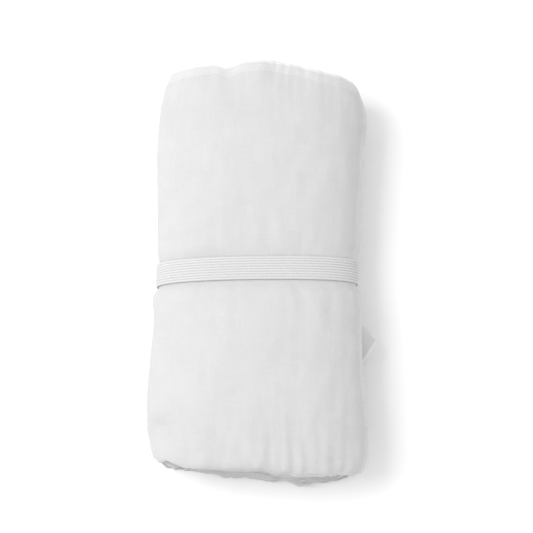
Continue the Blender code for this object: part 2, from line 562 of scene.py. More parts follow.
@dataclass
class LooseCorner:
    """The corner of the innermost layer, turned and slipped out of the crease."""

    turn: float = math.radians(49)
    push: tuple[float, float] = (19.6 * MM, -0.9 * MM)
    hold: float = 17 * MM
    fade: float = 52 * MM
    flare: float = math.radians(64)
    bend: float = 6 * MM
    straightening: float = 6.0
    longest: float = 50 * MM
    samples: int = 400
    curl: float = 1.3 * MM
    droop: float = 2.2 * MM
    blunt: float = 1.3 * MM
    curl_reach: float = 2.2 * MM
    droop_from: float = 5 * MM
    droop_reach: float = 3.52 * MM
    loose_run: float = 4 * MM
    hem_thickening: float = 1.6

    def slip(self, lay: Lay, out: Numbers, up: Numbers) -> tuple[Numbers, Numbers, Numbers]:
        """Moves the corner's part of the cloth.

        Args:
            lay: the points.
            out: how far past the strip's loose end they lie.
            up: how far above the inner hem they lie.

        Returns:
            The new out and up, and what to add to the place in space.
        """
        from_tip = np.hypot(out, up)
        near = lay.first_layer * ramp(self.fade, self.hold, from_tip)
        turn = self.turn * near
        slid_out = np.cos(turn) * out - np.sin(turn) * up + self.push[0] * near
        slid_up = np.sin(turn) * out + np.cos(turn) * up + self.push[1] * near
        slid_out = slid_out - self.blunt * near * np.exp(-from_tip / self.curl_reach)
        free = lay.first_layer * np.maximum(slid_out, 0.0)
        away, down = self.fall(free)
        loose = near * ramp(0.0, self.loose_run, free)
        curl = self.curl * np.exp(-np.maximum(up, 0) / self.curl_reach)
        along_edge = np.exp(-np.maximum(-out, 0) / self.droop_reach)
        droop = self.droop * ramp(0.0, self.droop_from, up) * along_edge
        thick = self.hem_thickening * lay.under
        spill = np.stack([away + lay.under * loose, 0 * free,
                          loose * (curl - droop - thick) - down], axis=-1)
        return np.where(lay.first_layer > 0, np.minimum(slid_out, 0.0), out), slid_up, spill

    def fall(self, free: Numbers) -> tuple[Numbers, Numbers]:
        """The curve in which the corner leaves the wall.

        Args:
            free: lengths of cloth past the crease.

        Returns:
            How far each place stands away from the wall, and how far it hangs below the crease.
        """
        table = np.linspace(0.0, self.longest, self.samples)
        tilt = self.flare * ramp(0.0, self.bend, table) * (1 - self.straightening * table)
        step = table[1] - table[0]
        away = np.interp(free, table, np.cumsum(np.sin(tilt)) * step)
        return away, np.interp(free, table, np.cumsum(np.cos(tilt)) * step)


@dataclass
class FoldedStrip:
    """The folded and wound cloth as a map from the open cloth to space.

    Set-backs, heights and depths of the two ends' detail are in millimetres.
    """

    winding: Winding
    relief: Relief
    corner: LooseCorner = field(default_factory=LooseCorner)
    cloth_side: float = CLOTH_SIDE
    foot_y: float = -128.6 * MM
    head_y: float = 128.6 * MM
    layer_gap: float = 1.02 * MM
    inner_hem_y: float = -43.4 * MM
    fold_reach: float = 1.2 * MM
    lip_reach: float = 1.9 * MM
    foot_depths: tuple[float, ...] = (-0.60, 1.62, 1.78, 4.15, 4.0)
    head_depths: tuple[float, ...] = (0.0, 0.66, 2.44, 2.58, 4.58)
    swell_run: float = 9 * MM
    hem_width: float = HEM_WIDTH
    hem_lift: float = 0.42 * MM
    stagger: tuple[float, ...] = (1.0 * MM, 0.1 * MM, 0.7 * MM, -0.5 * MM, 0.2 * MM)
    stagger_fade: float = 25 * MM
    floor_clearance: float = 0.25 * MM
    end_line: tuple[EndPoint, ...] = (
        EndPoint(x=-0.0620, foot_top=13.0, foot_base=12.6, head_top=10.0, head_base=5.5),
        EndPoint(x=-0.0515, foot_top=10.8, foot_base=10.4, head_top=6.4, head_base=3.2),
        EndPoint(x=-0.0496, foot_top=7.2, foot_base=7.0, head_top=6.2, head_base=3.1),
        EndPoint(x=-0.0470, foot_top=6.6, foot_base=6.6, head_top=6.1, head_base=3.1),
        EndPoint(x=-0.0370, foot_top=5.9, foot_base=5.0, head_top=6.4, head_base=3.5),
        EndPoint(x=-0.0170, foot_top=6.6, foot_base=1.2, head_top=5.4, head_base=3.0),
        EndPoint(x=0.0040, foot_top=6.0, foot_base=0.6, head_top=4.2, head_base=2.6),
        EndPoint(x=0.0160, foot_top=4.8, foot_base=-0.4, head_top=7.0, head_base=5.0),
        EndPoint(x=0.0270, foot_top=4.0, foot_base=-1.8, head_top=10.6, head_base=8.0),
        EndPoint(x=0.0380, foot_top=3.8, foot_base=-0.6, head_top=12.6, head_base=9.0),
        EndPoint(x=0.0500, foot_top=5.0, foot_base=0.0, head_top=14.0, head_base=11.5),
        EndPoint(x=0.0620, foot_top=9.0, foot_base=7.0, head_top=23.0, head_base=21.0),
    )
    foot_folds: EndFolds = EndFolds(each_turn=0.35, each_fold=0.5, drift=0.5)
    head_folds: EndFolds = EndFolds(each_turn=0.4, each_fold=0.4, drift=9.5)
    outermost_turn: tuple[float, float] = (1.06, 0.98)
    stray_paces: tuple[float, ...] = (2.2, 8.0, 27.0)
    stray_heights: tuple[float, ...] = (0.7, 0.55, 0.75)
    fold_drift: float = 3.0
    lip_turns: tuple[float, float] = (0.9, 0.6)
    lip_back: float = 0.4
    lip_arch: float = 4.4
    under_lip_out: float = 0.4
    under_lip_arch: float = 1.0
    arch_width: float = 0.033
    right_back: float = 2.6
    right_from: tuple[float, float] = (0.70, 0.97)
    crumples: tuple[Crumple, ...] = (
        Crumple(1.3, across=6 * MM, upright=10 * MM, drift=0.0),
        Crumple(0.7, across=3 * MM, upright=6 * MM, drift=4.0),
    )
    topside: tuple[float, float] = (0.3, 0.7)
    dimple_back: float = 3.4
    dimple_x: tuple[float, float] = (-23.5 * MM, 4.5 * MM)
    puff_out: float = 0.5
    puff_x: tuple[float, float] = (-4 * MM, 12 * MM)
    heart_back: float = 3.5
    heart_run: float = 0.3
    foot_run: tuple[float, float] = (-85 * MM, -122 * MM)
    head_run: tuple[float, float] = (70 * MM, 122 * MM)
    crease_lobes: tuple[Lobe, ...] = (
        Lobe(3.4, y=88 * MM, reach=26 * MM),
        Lobe(3.0, y=-104 * MM, reach=22 * MM),
    )
    lobe_turn: tuple[float, float] = (0.955, 0.035)
    lobe_stop: tuple[float, float] = (1.4, 1.0)
    lobe_fall: float = 6.0
    hollow_turn: float = 0.399
    hollow_width: float = 0.038
    hollow_depth: float = 8.5
    hollow_cover: tuple[float, float] = (1.7, 1.95)
    hollow_starts: tuple[float, float] = (-105 * MM, -115 * MM)
    hollow_stops: tuple[float, float] = (-123.6 * MM, -121.4 * MM)
    hollow_layers: float = 9.0
    lip_lift: float = 1.4
    lip_run: tuple[float, float] = (-104 * MM, -117 * MM)
    lip_lift_turns: tuple[float, float] = (1.0, 0.8)
    edge_noise: GradientNoise = field(default_factory=lambda: GradientNoise(11))

    def insets(self, lay: Lay, outline: tuple[Numbers, Numbers], turns: Numbers, angle: Numbers,
               reach: Numbers) -> Numbers:
        """How far the folds and hems at the two ends stand back along the roll.

        Args:
            lay: the points.
            outline: x and z of the outline over them.
            turns: turns back from the strip's loose end.
            angle: angle around the roll.
            reach: share of the way from the roll's core to the outline.

        Returns:
            The change of y.
        """
        x, z = outline
        high = (1 + np.sin(angle) * reach) / 2
        foot = self.end_back(End.FOOT, x, high, turns, lay.foot_pair)
        foot = foot + self.lip_shape(lay, turns, angle)
        for crumple in self.crumples:
            edge = self.edge_noise.at(x / crumple.across, crumple.drift, z / crumple.upright)
            foot = foot + crumple.height * edge
        head = self.end_back(End.HEAD, x, high, turns, lay.head_pair)
        dimple, puff = swell(*self.dimple_x, x), swell(*self.puff_x, x)
        on_top = ramp(*self.topside, np.sin(angle))
        head = head + on_top * (self.dimple_back * dimple - self.puff_out * puff)
        return MM * (foot * ramp(*self.foot_run, lay.y) - head * ramp(*self.head_run, lay.y))

    def end_back(self, end: End, x: Numbers, high: Numbers, turns: Numbers, pair: Numbers) -> Numbers:
        """How far the folds at one end stand back, before its own dents and crumples.

        Args:
            end: which end.
            x: places across the roll.
            high: share of the way from the underside to the crown.
            turns: turns back from the strip's loose end.
            pair: which fold it is, counted from outside.

        Returns:
            The set-back of each place.
        """
        across = [point.x for point in self.end_line]
        top, base = (
            np.interp(x, across, [getattr(point, f"{end.value}_{level}") for point in self.end_line])
            for level in ("top", "base")
        )
        folds = self.foot_folds if end is End.FOOT else self.head_folds
        steady = base + (top - base) * high + folds.each_turn * turns + folds.each_fold * pair
        whole = self.winding.turns
        tucked = self.heart_back * ramp(whole - self.heart_run, whole, turns)
        return steady + self.strays(turns, pair, folds.drift) + tucked

    def strays(self, turns: Numbers, pair: Numbers, drift: float) -> Numbers:
        """How unevenly the folds at one end lie, with the smallest scallops on the outermost turn.

        Args:
            turns: turns back from the strip's loose end.
            pair: which fold it is, counted from outside.
            drift: picks the end.

        Returns:
            The set-back of each place.
        """
        long_way, middling, short_way = (
            height * self.edge_noise.at(pace * turns, self.fold_drift * pair, drift + step)
            for step, (pace, height) in enumerate(zip(self.stray_paces, self.stray_heights))
        )
        return long_way + middling + ramp(*self.outermost_turn, turns) * short_way

    def lip_shape(self, lay: Lay, turns: Numbers, angle: Numbers) -> Numbers:
        """How far the lip at the foot arches back, and the folds under it stand out.

        Args:
            lay: the points.
            turns: turns back from the strip's loose end.
            angle: angle around the roll.

        Returns:
            The set-back of each place.
        """
        arch = swell(self.hollow_turn, self.arch_width, turns - np.floor(turns))
        lip = np.where(lay.foot_pair < 0.5, ramp(*self.lip_turns, turns), 0.0)
        over = self.lip_back + self.lip_arch * arch
        under = self.under_lip_out + self.under_lip_arch * arch
        right = self.right_back * ramp(*self.right_from, np.cos(angle))
        return lip * over - (1 - lip) * under + (1 - lip) * right

    def place(self, lay: Lay) -> Numbers:
        """Puts points of the cloth in space.

        Args:
            lay: the points.

        Returns:
            Their places, with x, y and z along the last axis.
        """
        back, y, spill = self.corner_slip(lay)
        turns = self.winding.turns_at(back)
        angle = self.winding.angle(turns)
        form = self.winding.form
        depth = lay.depth + lay.under * lay.wrong_depth / self.layer_gap
        reach = self.winding.reach(turns, depth)
        reach = self.winding.spread(reach, np.minimum(y - self.foot_y, self.head_y - y))
        inset = self.insets(lay, form.outline(y, angle), turns, angle, reach)
        y = y + inset + lay.under * lay.wrong_y
        x, z = form.outline(y, angle)
        core_x, core_z = form.core(y, x)
        out_x, out_z = x - core_x, z - core_z
        length = np.hypot(out_x, out_z)
        out_x, out_z = out_x / length, out_z / length
        cover = self.winding.layers * self.winding.fallen(turns) + depth
        raised = self.relief.lift((x, y, z), angle, cover) + self.dents(y, turns, cover)
        around = reach * length + raised
        found = np.stack([core_x + around * out_x, y + 0 * around, core_z + around * out_z], axis=-1)
        found[..., 2] = np.maximum(found[..., 2], self.floor_clearance)
        found[..., 1] = form.leaning(found[..., 0], found[..., 1])
        return found + spill

    def dents(self, y: Numbers, turns: Numbers, cover: Numbers) -> Numbers:
        """Larger dents and bulges of the wound strip.

        Args:
            y: places along the roll.
            turns: turns back from the strip's loose end.
            cover: how many layers of cloth lie over the point.

        Returns:
            How far out the cloth lies: below the crease it bulges, and at the foot the lip stands
            off the hollow under it on the left.
        """
        below = swell(*self.lobe_turn, turns) * ramp(*self.lobe_stop, turns)
        below = below * np.exp(-np.maximum(turns - 1, 0) * self.lobe_fall)
        bulge = below * sum(lobe.height * swell(lobe.y, lobe.reach, y) for lobe in self.crease_lobes)
        around_hollow = swell(self.hollow_turn, self.hollow_width, turns - np.floor(turns))
        under_lip = ramp(*self.hollow_cover, cover)
        sunk = ramp(*self.hollow_starts, y) * ramp(*self.hollow_stops, y)
        fade = np.exp(-np.maximum(cover - 2, 0) / self.hollow_layers)
        hollow = -self.hollow_depth * sunk * under_lip * fade
        lip = self.lip_lift * ramp(*self.lip_run, y) * (1 - under_lip) * ramp(*self.lip_lift_turns, turns)
        return MM * (bulge + around_hollow * (hollow + lip))

    def corner_slip(self, lay: Lay) -> tuple[Numbers, Numbers, Numbers]:
        """Staggers the layers at the loose end, and slips the innermost one's corner out.

        Args:
            lay: the points.

        Returns:
            The new distance back, the new y, and what to add to the place in space.
        """
        stagger = np.interp(lay.depth, np.arange(len(self.stagger)), self.stagger)
        back = lay.back - stagger * np.exp(-np.maximum(lay.back, 0) / self.stagger_fade)
        out, up, spill = self.corner.slip(lay, -back, lay.y - self.inner_hem_y)
        return -out, np.where(lay.first_layer > 0, self.inner_hem_y + up, lay.y + 0 * out), spill


@dataclass
class FoldRows:
    """The rows of the cloth's mesh from the inner hem to the outer one, across all its folds."""

    strip: FoldedStrip
    face_step: float = 1.75 * MM
    hidden_step: float = 16 * MM
    near_step: float = 3.2 * MM
    bulb_steps: int = 6
    hem_steps: int = 4
    waist_span: tuple[float, float] = (-25 * MM, 18 * MM)
    waist_rows: tuple[float, ...] = (-19.5 * MM, -15.2 * MM, -12.4 * MM, 2.4 * MM, 6.2 * MM, 12 * MM)
    corner_step: float = 1.6 * MM
    corner_run: float = 34 * MM
    corner_margins: tuple[float, float] = (6 * MM, 12 * MM)
    head_marks: tuple[float, ...] = (9 * MM, 6 * MM, 3 * MM, 1 * MM)
    fold_run: tuple[float, float] = (1.2 * MM, 16 * MM)
    fold_margin: float = 22 * MM
    rows_by_folds: int = 3
    face_end: float = 9 * MM
    coarse_face: int = 8
    coarse_corner: int = 4
    coarse_hidden: int = 3
    hem_gap: float = 0.3 * MM
    hem_round: float = 0.25 * MM

    def __post_init__(self) -> None:
        """Walks across the cloth, laying down one row after another."""
        self.rows: list[tuple[float, ...]] = []
        s = self.strip
        foot, head = s.foot_y, s.head_y
        tight, lip = s.fold_reach, s.lip_reach
        inmost = s.winding.layers - 1
        self.hem(s.inner_hem_y, inmost, 1)
        self.run(inmost, s.inner_hem_y, head - tight, self.inner_marks())
        for layer in range(inmost - 1, 0, -1):
            start, end, way = (head, foot, 1) if layer % 2 else (foot, head, -1)
            self.bulb(start, tight, layer + 1, layer, way)
            last = lip if layer == 1 else tight
            self.run(layer, start - way * tight, end + way * last, self.hidden_marks())
        self.bulb(foot, lip, 1, 0, -1)
        self.run(0, foot + lip, head, self.face_marks())
        self.hem(head, 0, -1)
        (self.y, self.depth, self.foot_pair, self.head_pair, self.wrong_y, self.wrong_depth,
         self.under, self.first_layer, self.kept) = np.array(self.rows).T
        self.across = self.unrolled()

    def add(self, y: float, layer: int, under: float = 0.0, kept: bool = True) -> None:
        """Adds one row of a layer, which thickens towards the folds at its two ends.

        Args:
            y: the row's place along the roll.
            layer: the layer, 0 outermost.
            under: how far the row is turned under.
            kept: whether the coarse mesh keeps it.
        """
        s = self.strip
        to_foot = ramp(s.swell_run, 0.0, y - s.foot_y - s.fold_reach) * (s.foot_depths[layer] - layer)
        to_head = ramp(s.swell_run, 0.0, s.head_y - s.fold_reach - y) * (s.head_depths[layer] - layer)
        first = 1.0 if layer == s.winding.layers - 1 else 0.0
        depth = layer + float(to_foot) + float(to_head)
        self.rows.append((y, depth, *self.pairs(layer), *self.facing(layer), under, first, float(kept)))

    def facing(self, layer: int) -> tuple[float, float]:
        """The wrong side's direction: inwards on the even layers and outwards on the odd ones."""
        return 0.0, 1.0 if layer % 2 == 0 else -1.0

    def pairs(self, layer: int) -> tuple[float, float]:
        """Which fold a layer ends in at the foot and at the head, counted from outside."""
        return float(layer // 2), float((layer + 1) // 2)

    def inner_marks(self) -> list[tuple[float, bool]]:
        """Row places on the innermost layer: close together by its hem, whose corner shows.

        Returns:
            Distances from the inner hem, each with whether the coarse mesh keeps it.
        """
        close = np.arange(self.corner_step, self.corner_run, self.corner_step)
        end = self.strip.head_y - self.strip.inner_hem_y - self.strip.fold_reach
        after, before = self.corner_margins
        wide = np.arange(close[-1] + after, end - before, self.hidden_step)
        places = np.concatenate([close, wide, end - np.array(self.head_marks)])
        every = self.coarse_corner
        return [(float(p), i % every == every - 1 or i >= len(close)) for i, p in enumerate(places)]

    def hidden_marks(self) -> list[tuple[float, bool]]:
        """Row places on a layer inside the strip: close together only by its two folds.

        Returns:
            Distances from the run's start, each with whether the coarse mesh keeps it.
        """
        total = self.strip.head_y - self.strip.foot_y - 2 * self.strip.fold_reach
        near = [(float(p), i % 2 == 0) for i, p in enumerate(np.arange(*self.fold_run, self.near_step))]
        count = round(total / self.hidden_step) - self.rows_by_folds
        middle = np.linspace(self.fold_margin, total - self.fold_margin, count)
        marks = near + [(float(p), i % self.coarse_hidden == 0) for i, p in enumerate(middle)]
        return marks + [(total - p, kept) for p, kept in reversed(near)]

    def face_marks(self) -> list[tuple[float, bool]]:
        """Row places on the outer layer, fine from end to end.

        Returns:
            Distances from the lip, each with whether the coarse mesh keeps it.
        """
        total = self.strip.head_y - self.strip.foot_y - self.strip.lip_reach
        count = round(total / self.face_step)
        places = np.linspace(0, total, count + 1)[1:-1]
        near_end = np.minimum(places, total - places) < self.face_end
        return [(float(p), bool(i % self.coarse_face == 0 or (e and i % 2 == 0)))
                for i, (p, e) in enumerate(zip(places, near_end))]

    def run(self, layer: int, start: float, end: float, marks: list[tuple[float, bool]]) -> None:
        """Lays one layer's rows between two folds.

        Args:
            layer: the layer, 0 outermost.
            start, end: where along the roll it begins and stops.
            marks: distances from the start, each with whether the coarse mesh keeps it.
        """
        way = 1.0 if end > start else -1.0
        length = abs(end - start)
        places = [(start + way * mark, kept) for mark, kept in marks if 0 < mark < length]
        if layer > 0:
            low, high = self.waist_span
            places = [(y, kept) for y, kept in places if not low < y < high]
            places = sorted(places + [(y, True) for y in self.waist_rows], reverse=way < 0)
        self.add(start, layer)
        for y, kept in places:
            self.add(y, layer, 0.0, kept)
        self.add(end, layer)

    def bulb(self, y: float, reach: float, start: int, end: int, way: int) -> None:
        """Rolls the cloth over from one layer to the next at an end of the strip.

        Args:
            y: the fold's outermost place.
            reach: how far its round runs along the roll.
            start, end: the layers it joins.
            way: 1 at the head, -1 at the foot.
        """
        low, high = sorted((start, end))
        pairs = (float(low // 2), float((low + 1) // 2))
        facing_y = way * (1.0 if self.facing(start)[1] * (end - start) < 0 else -1.0)
        depths = self.strip.head_depths if way > 0 else self.strip.foot_depths
        middle, half = (depths[start] + depths[end]) / 2, (depths[start] - depths[end]) / 2
        for i in range(1, self.bulb_steps):
            turn = math.pi * i / self.bulb_steps
            depth = middle + half * math.cos(turn)
            wrong = (facing_y * math.sin(turn), self.facing(start)[1] * math.cos(turn))
            at = y - way * reach * (1 - math.sin(turn))
            self.rows.append((at, depth, *pairs, *wrong, 0.0, 0.0, float(i % 2 == 0 or i == 3)))

    def hem(self, edge: float, layer: int, way: int) -> None:
        """Turns the cloth's edge under on its wrong side.

        Args:
            edge: where the hem's folded edge lies.
            layer: the layer it ends.
            way: 1 where the cloth runs on towards the head, -1 towards the foot.
        """
        s = self.strip
        rows = []
        for i in range(self.hem_steps + 1):
            share = i / self.hem_steps
            rows.append((edge + way * s.hem_width * (1 - share) + way * self.hem_gap, s.hem_lift))
        for turn in FOLD_TURNS:
            rise = s.hem_lift * (1 - math.cos(turn)) / 2
            rows.append((edge - way * self.hem_round * math.sin(turn), rise))
        if way < 0:
            rows.reverse()
        for i, (y, under) in enumerate(rows):
            kept = i in (0, len(rows) - 1) or i % 2 == 0
            self.add(y, layer, under, kept)

    def unrolled(self) -> Numbers:
        """Lays the rows out on the open cloth, with the turned hems beyond its edges.

        Returns:
            Each row's place across it.
        """
        between = np.hypot(np.diff(self.depth) * self.strip.layer_gap, np.diff(self.under))
        steps = np.hypot(np.diff(self.y), between)
        found = np.concatenate([[0.0], np.cumsum(steps)])
        first = int(np.argmax(self.under == 0))
        last = len(found) - 1 - int(np.argmax(self.under[::-1] == 0))
        length = found[last] - found[first]
        return (found - found[first]) * self.strip.cloth_side / length


@dataclass
class FoldColumns:
    """The columns of the cloth's mesh, from the turned hem at the loose end to the heart."""

    strip: FoldedStrip
    fine_turns: float = 1.08
    fine_step: float = 1.75 * MM
    fine_bend: float = math.radians(13)
    coarse_step: float = 5.5 * MM
    coarse_bend: float = math.radians(24)
    hem_steps: int = 4
    hem_gap: float = 0.25 * MM
    hem_round: float = 0.22 * MM
    hem_turned: float = 0.5
    hem_beyond: float = 0.6 * MM

    def __post_init__(self) -> None:
        """Lays down the columns."""
        w = self.strip.winding
        fine = w.table_turns < self.fine_turns
        cost = np.where(
            fine[1:],
            np.diff(w.table_back) / self.fine_step + np.diff(w.table_bend) / self.fine_bend,
            np.diff(w.table_back) / self.coarse_step + np.diff(w.table_bend) / self.coarse_bend,
        )
        total = np.concatenate([[0.0], np.cumsum(cost)])
        marks = np.linspace(0.0, total[-1], round(total[-1]) + 1)
        main = np.interp(marks, total, w.table_back)
        hem = self.strip.hem_width
        turned = [(hem * (1 - i / self.hem_steps) + self.hem_gap, 1.0) for i in range(self.hem_steps + 1)]
        for turn in FOLD_TURNS:
            turned.append((-self.hem_round * math.sin(turn), self.hem_turned * (1 - math.cos(turn))))
        self.back = np.concatenate([[t[0] for t in turned], main])
        self.turned = np.concatenate([[t[1] for t in turned], np.zeros(len(main))])
        self.fine_count = len(turned) + int((w.turns_at(main) < self.fine_turns).sum())
        self.along = np.concatenate(
            [[w.strip_length + self.hem_beyond + (t[0] if t[1] == 1.0 else 0.0) for t in turned],
             w.strip_length - main]
        )


@dataclass
class NodeBench:
    """Lays out shader nodes."""

    tree: Any

    def add(self, kind: str, **inputs: Any) -> Any:
        """Adds a node and sets or links its inputs.

        Args:
            kind: the node's type.
            inputs: socket names, with underscores for spaces.

        Returns:
            The node.
        """
        node = self.tree.nodes.new(kind)
        for key, value in inputs.items():
            self.feed(node.inputs[key.replace("_", " ")], value)
        return node

    def feed(self, socket: Any, value: Any) -> None:
        """Links an output to a socket, or sets a value on it.

        Args:
            socket: the socket.
            value: an output, or a plain value.
        """
        if isinstance(value, bpy.types.NodeSocket):
            self.tree.links.new(value, socket)
        else:
            socket.default_value = value

    def maths(self, operation: str, *terms: Any) -> Any:
        """Works out one sum.

        Args:
            operation: the Math node's operation.
            terms: one to three numbers or outputs.

        Returns:
            The result's output.
        """
        node = self.tree.nodes.new("ShaderNodeMath")
        node.operation = operation
        for socket, term in zip(node.inputs, terms):
            self.feed(socket, term)
        return node.outputs[0]

    def noise(self, place: Any, scale: float, detail: float = 2.0) -> Any:
        """Noise about a place, from 0 to 1, returned as an output."""
        return self.add("ShaderNodeTexNoise", Vector=place, Scale=scale, Detail=detail).outputs["Fac"]

    def bump(self, shader: Any, height: Any, strength: float, distance: float = 1.0) -> None:
        """Gives a shader a fine relief, where a height of 1 stands for a distance in metres."""
        node = self.add("ShaderNodeBump", Strength=strength, Distance=distance, Height=height)
        self.feed(shader.inputs["Normal"], node.outputs["Normal"])

    def cloth_place(self) -> Any:
        """Reads the place on the open cloth.

        Returns:
            Its output.
        """
        node = self.tree.nodes.new("ShaderNodeUVMap")
        node.uv_map = CLOTH_MAP
        return node.outputs["UV"]

    def between(self, share: Any, low: tuple[float, ...], high: tuple[float, ...]) -> Any:
        """Mixes two colours.

        Args:
            share: 0 for the first colour, 1 for the second.
            low, high: the colours.

        Returns:
            The mixed colour's output.
        """
        node = self.tree.nodes.new("ShaderNodeMix")
        node.data_type = "RGBA"
        node.clamp_factor = False
        self.feed(node.inputs[0], share)
        colours = [socket for socket in node.inputs if socket.type == "RGBA"]
        for socket, colour in zip(colours, (low, high)):
            socket.default_value = (*colour, 1.0)
        return next(socket for socket in node.outputs if socket.type == "RGBA")


def new_bench(name: str, roughness: float, sheen: float) -> tuple[Any, NodeBench, Any]:
    """Makes a matt textile material.

    Args:
        name: the material's name.
        roughness: the shader's roughness.
        sheen: how much pale down stands on the surface.

    Returns:
        The material, the bench its nodes are laid out on, and its shader.
    """
    material = bpy.data.materials.new(name)
    material.use_nodes = True
    shader = material.node_tree.nodes["Principled BSDF"]
    shader.inputs["Roughness"].default_value = roughness
    shader.inputs["Specular IOR Level"].default_value = TEXTILE_SPECULAR
    shader.inputs["Sheen Weight"].default_value = sheen
    shader.inputs["Sheen Roughness"].default_value = DOWN_ROUGHNESS
    return material, NodeBench(material.node_tree), shader


@dataclass(frozen=True)
class MuslinFinish:
    """Plain-woven cotton gauze: soft, matt, a little uneven, and denser where it is doubled; its hems carry
    painted light, and a painted highlight runs along their folded edges.
    """

    slot: str = "muslin"
    pale: tuple[float, float, float] = (0.700, 0.697, 0.697)
    deep: tuple[float, float, float] = (0.558, 0.554, 0.557)
    yarn_pitch: float = 0.62 * MM
    weave_depth: float = 0.16 * MM
    crinkle_depth: float = 0.35 * MM
    cloth_side: float = CLOTH_SIDE
    hem_width: float = HEM_WIDTH
    # Hems are made lighter: partly the doubled cloth's own tone, partly painted light that lifts the shaded
    # corner flap.
    hem_pale_and_painted_light: float = 0.35
    edge_reach: float = 1.25 * MM
    edge_lead: float = 1.6
    # Painted highlight along the hems' folded edges.
    fold_highlight_gain: float = 0.95
    roughness: float = 0.88
    down: float = 0.18
    weave_tone: float = 0.40
    slub_tone: float = 0.35
    cloud_tone: float = 0.45
    pore_tone: float = 0.35
    cloud_scale: float = 55.0
    cloud_detail: float = 4.0
    crinkle_scale: float = 160.0
    sway: float = 0.9
    sway_scale: float = 420.0
    yarn_over: float = 0.4
    yarn_round: float = 0.6
    slub_rate: float = 60.0
    slub_closeness: float = 900.0
    slub_height: float = 0.10 * MM
    cross_shift: float = 7.3
    relief: float = 0.8

    def make(self) -> Any:
        """Makes the material.

        Returns:
            The material.
        """
        material, bench, shader = new_bench(self.slot, self.roughness, self.down)
        flat = bench.cloth_place()
        parts = bench.add("ShaderNodeSeparateXYZ", Vector=flat)
        u, v = parts.outputs["X"], parts.outputs["Y"]
        weave, pores = self.weave(bench, u, v, flat)
        slubs = self.slubs(bench, u, v)
        cloudy = bench.noise(flat, self.cloud_scale, self.cloud_detail)
        crinkle = bench.noise(flat, self.crinkle_scale, 3.0)
        tone = bench.maths("MULTIPLY", slubs, self.slub_tone)
        tone = bench.maths("MULTIPLY_ADD", weave, self.weave_tone, tone)
        tone = bench.maths("MULTIPLY_ADD", cloudy, self.cloud_tone, tone)
        tone = bench.maths("SUBTRACT", tone, bench.maths("MULTIPLY", pores, self.pore_tone))
        # Adds painted light over the hems and a painted highlight along their folded edges.
        tone = bench.maths("ADD", self.doubling(bench, u, v), tone)
        colour = bench.between(tone, self.deep, self.pale)
        bench.feed(shader.inputs["Base Color"], colour)
        height = bench.maths("MULTIPLY", crinkle, self.crinkle_depth)
        height = bench.maths("MULTIPLY_ADD", weave, self.weave_depth, height)
        height = bench.maths("MULTIPLY_ADD", slubs, self.slub_height, height)
        bench.bump(shader, height, self.relief)
        return material

    def weave(self, bench: NodeBench, u: Any, v: Any, flat: Any) -> tuple[Any, Any]:
        """Yarns that pass over and under each other.

        Args:
            bench: where the nodes go.
            u, v: the place on the open cloth.
            flat: the same place as one output.

        Returns:
            The height of the yarns, and the open pores between them.
        """
        unsteady = bench.noise(flat, self.sway_scale, 1.0)
        sway = bench.maths("MULTIPLY_ADD", unsteady, self.sway, -self.sway / 2)
        across = bench.maths("MULTIPLY_ADD", u, math.pi / self.yarn_pitch, sway)
        along = bench.maths("MULTIPLY_ADD", v, math.pi / self.yarn_pitch, sway)
        sine_u, sine_v = bench.maths("SINE", across), bench.maths("SINE", along)
        over = bench.maths("MULTIPLY", sine_u, sine_v)
        round_u = bench.maths("ABSOLUTE", sine_u)
        round_v = bench.maths("ABSOLUTE", sine_v)
        warp, weft = (
            bench.maths("MULTIPLY_ADD", over, side, bench.maths("MULTIPLY", yarn, self.yarn_round))
            for yarn, side in ((round_u, self.yarn_over), (round_v, -self.yarn_over))
        )
        gap_u = bench.maths("SUBTRACT", 1.0, round_u)
        gap_v = bench.maths("SUBTRACT", 1.0, round_v)
        return bench.maths("MAXIMUM", warp, weft), bench.maths("MULTIPLY", gap_u, gap_v)

    def doubling(self, bench: NodeBench, u: Any, v: Any) -> Any:
        """How much lighter the cloth is made in its hems, partly for the doubled cloth and partly as painted
        light, with a painted highlight along their folded edges.

        Args:
            bench: where the nodes go.
            u, v: the place on the open cloth.

        Returns:
            What to add to the cloth's tone.
        """
        half = self.cloth_side / 2
        inward = [
            bench.maths("SUBTRACT", half, bench.maths("ABSOLUTE", bench.maths("SUBTRACT", side, half)))
            for side in (u, v)
        ]
        nearest = bench.maths("MINIMUM", *inward)
        in_hem = bench.maths("LESS_THAN", nearest, self.hem_width)
        off_edge = bench.maths("ABSOLUTE", inward[1])
        # Painted highlight: a light line along the hems' folded edges, standing in for the lit rim of the
        # fold.
        close = bench.maths("MULTIPLY_ADD", off_edge, -1 / self.edge_reach, self.edge_lead)
        fold_highlight_share = bench.maths("MINIMUM", bench.maths("MAXIMUM", close, 0.0), 1.0)
        painted_fold_highlight = bench.maths("MULTIPLY", fold_highlight_share, self.fold_highlight_gain)
        # Painted light over the hems, on top of the doubled cloth's own lighter tone.
        return bench.maths("MULTIPLY_ADD", in_hem, self.hem_pale_and_painted_light, painted_fold_highlight)

    def slubs(self, bench: NodeBench, u: Any, v: Any) -> Any:
        """Thicker stretches of single yarns, both ways of the weave.

        Args:
            bench: where the nodes go.
            u, v: the place on the open cloth.

        Returns:
            How thick the yarn is, from 0 to 1.
        """
        runs = []
        for long_way, cross_way, shift in ((u, v, 0.0), (v, u, self.cross_shift)):
            along = bench.maths("MULTIPLY", long_way, self.slub_rate)
            across = bench.maths("MULTIPLY", cross_way, self.slub_closeness)
            place = bench.add("ShaderNodeCombineXYZ", X=along, Y=across, Z=shift)
            runs.append(bench.noise(place.outputs["Vector"], 1.0, 1.0))
        return bench.maths("MAXIMUM", *runs)


